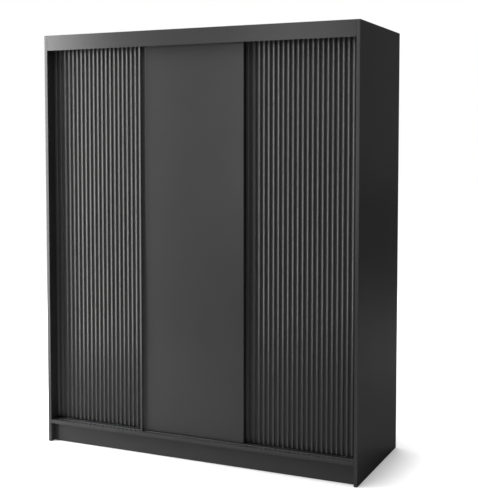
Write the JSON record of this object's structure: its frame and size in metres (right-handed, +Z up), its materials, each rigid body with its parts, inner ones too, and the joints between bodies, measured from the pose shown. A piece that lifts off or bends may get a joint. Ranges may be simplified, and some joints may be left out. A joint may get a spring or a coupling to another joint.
{
  "type": "sliding door wardrobe",
  "caption": "Free-standing wardrobe on a plinth, with fluted outer sliding doors, a smooth middle sliding door with a grip rail, and shelves and a hanging rail inside.",
  "frame": {"origin": "on the floor, under the middle of the wardrobe", "axes": "+Z up, front towards -Y, +X to the right of someone who faces the front"},
  "size_m": [1.6, 0.62, 2],
  "materials": {
    "carcass_board": "matt dark grey melamine on particleboard",
    "front_foil": "satin dark grey foil on milled fibreboard",
    "back_hardboard": "lacquered thin hardboard",
    "track_profile": "dark anodised extrusion",
    "rail_steel": "bright plated oval tube",
    "axle_steel": "bright turned steel",
    "nylon": "moulded natural nylon",
    "black_moulding": "moulded black plastic"
  },
  "bodies": {
    "carcass": {"left_side_panel": "carcass_board", "right_side_panel": "carcass_board", "bottom_panel": "carcass_board", "top_fascia": "carcass_board", "top_panel": "carcass_board", "front_plinth": "carcass_board", "rear_plinth": "carcass_board", "left_plinth_brace": "carcass_board", "right_plinth_brace": "carcass_board", "back_sheet_left": "back_hardboard", "back_sheet_right": "back_hardboard", "back_joint_strip": "black_moulding", "partition": "carcass_board", "shelf_1": "carcass_board", "shelf_2": "carcass_board", "shelf_3": "carcass_board", "shelf_4": "carcass_board", "shelf_5": "carcass_board", "hat_shelf": "carcass_board", "rail_flange_left": "black_moulding", "rail_flange_right": "black_moulding", "hanging_rail": "rail_steel", "top_track": "track_profile", "bottom_track": "track_profile"},
    "left_door": {"left_door_panel": "front_foil", "left_door_roller_housing_left": "black_moulding", "left_door_axle_left": "axle_steel", "left_door_top_guide_left": "nylon", "left_door_roller_housing_right": "black_moulding", "left_door_axle_right": "axle_steel", "left_door_top_guide_right": "nylon"},
    "left_door_wheel_left": {"left_door_wheel_left": "nylon"},
    "left_door_wheel_right": {"left_door_wheel_right": "nylon"},
    "middle_door": {"middle_door_panel": "front_foil", "middle_door_roller_housing_left": "black_moulding", "middle_door_axle_left": "axle_steel", "middle_door_top_guide_left": "nylon", "middle_door_roller_housing_right": "black_moulding", "middle_door_axle_right": "axle_steel", "middle_door_top_guide_right": "nylon"},
    "middle_door_wheel_left": {"middle_door_wheel_left": "nylon"},
    "middle_door_wheel_right": {"middle_door_wheel_right": "nylon"},
    "right_door": {"right_door_panel": "front_foil", "right_door_roller_housing_left": "black_moulding", "right_door_axle_left": "axle_steel", "right_door_top_guide_left": "nylon", "right_door_roller_housing_right": "black_moulding", "right_door_axle_right": "axle_steel", "right_door_top_guide_right": "nylon"},
    "right_door_wheel_left": {"right_door_wheel_left": "nylon"},
    "right_door_wheel_right": {"right_door_wheel_right": "nylon"}
  },
  "joints": [
    {"name": "left_door_slide", "type": "slide", "parent": "carcass", "child": "left_door", "axis": [1, 0, 0], "range_m": [0, 0.226]},
    {"name": "left_door_wheel_left_spin", "type": "hinge", "parent": "left_door", "child": "left_door_wheel_left", "pos_m": [-0.693, -0.241, 0.1216], "axis": [0, 1, 0], "range_deg": [0, 1440]},
    {"name": "left_door_wheel_right_spin", "type": "hinge", "parent": "left_door", "child": "left_door_wheel_right", "pos_m": [-0.3165, -0.241, 0.1216], "axis": [0, 1, 0], "range_deg": [0, 1440]},
    {"name": "middle_door_slide", "type": "slide", "parent": "carcass", "child": "middle_door", "axis": [1, 0, 0], "range_m": [-0.4975, 0.5335]},
    {"name": "middle_door_wheel_left_spin", "type": "hinge", "parent": "middle_door", "child": "middle_door_wheel_left", "pos_m": [-0.1945, -0.262, 0.1216], "axis": [0, 1, 0], "range_deg": [-3170, 3400]},
    {"name": "middle_door_wheel_right_spin", "type": "hinge", "parent": "middle_door", "child": "middle_door_wheel_right", "pos_m": [0.1585, -0.262, 0.1216], "axis": [0, 1, 0], "range_deg": [-3170, 3400]},
    {"name": "right_door_slide", "type": "slide", "parent": "carcass", "child": "right_door", "axis": [1, 0, 0], "range_m": [-0.226, 0]},
    {"name": "right_door_wheel_left_spin", "type": "hinge", "parent": "right_door", "child": "right_door_wheel_left", "pos_m": [0.3165, -0.241, 0.1216], "axis": [0, 1, 0], "range_deg": [-1440, 0]},
    {"name": "right_door_wheel_right_spin", "type": "hinge", "parent": "right_door", "child": "right_door_wheel_right", "pos_m": [0.693, -0.241, 0.1216], "axis": [0, 1, 0], "range_deg": [-1440, 0]}
  ],
  "couplings": [
    {"joint": "left_door_wheel_left_spin", "follows": "left_door_slide", "rad_per_m": 111.11},
    {"joint": "left_door_wheel_right_spin", "follows": "left_door_slide", "rad_per_m": 111.11},
    {"joint": "middle_door_wheel_left_spin", "follows": "middle_door_slide", "rad_per_m": 111.11},
    {"joint": "middle_door_wheel_right_spin", "follows": "middle_door_slide", "rad_per_m": 111.11},
    {"joint": "right_door_wheel_left_spin", "follows": "right_door_slide", "rad_per_m": 111.11},
    {"joint": "right_door_wheel_right_spin", "follows": "right_door_slide", "rad_per_m": 111.11}
  ]
}
